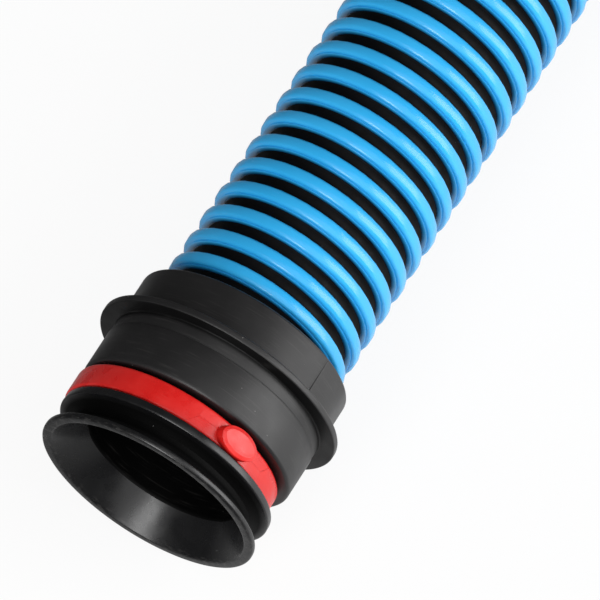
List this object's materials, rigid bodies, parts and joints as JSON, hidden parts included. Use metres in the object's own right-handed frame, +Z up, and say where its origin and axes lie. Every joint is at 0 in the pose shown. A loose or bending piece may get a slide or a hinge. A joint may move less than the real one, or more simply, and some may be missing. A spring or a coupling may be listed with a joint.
{
  "type": "pool cleaner hose section",
  "caption": "Straight section of ribbed suction hose for a pool cleaner, with a spigot with bell-mouth seal, lock ring and release button at one end and a socket at the other.",
  "frame": {"origin": "middle of the hose, on its axis", "axes": "+X along the hose toward the socket end, +Z up with the hose lying on a floor; the spigot's mouth faces -X"},
  "size_m": [1, 0.0608, 0.0608],
  "materials": {
    "cuff_plastic": "fine matte black",
    "seal_rubber": "satin black",
    "red_plastic": "semi-gloss red",
    "tube_plastic": "glossy black",
    "rib_plastic": "glossy azure blue"
  },
  "bodies": {
    "hose": {"spigot_cuff": "cuff_plastic", "mouth_seal": "seal_rubber", "hose_wall": "tube_plastic", "hose_rib": "rib_plastic", "socket_cuff": "cuff_plastic"},
    "ring": {"lock_ring": "red_plastic"},
    "button": {"release_button": "red_plastic"}
  },
  "joints": [
    {"name": "lock_ring_turn", "type": "hinge", "parent": "hose", "child": "ring", "pos_m": [-0.48747, 0.0012, 0], "axis": [1, 0, 0], "continuous": true},
    {"name": "release_button_press", "type": "slide", "parent": "ring", "child": "button", "axis": [0, 0.6428, -0.766], "range_m": [0, 0.0014], "stiffness_N_per_m": 3000, "springref_m": -0.0005}
  ]
}
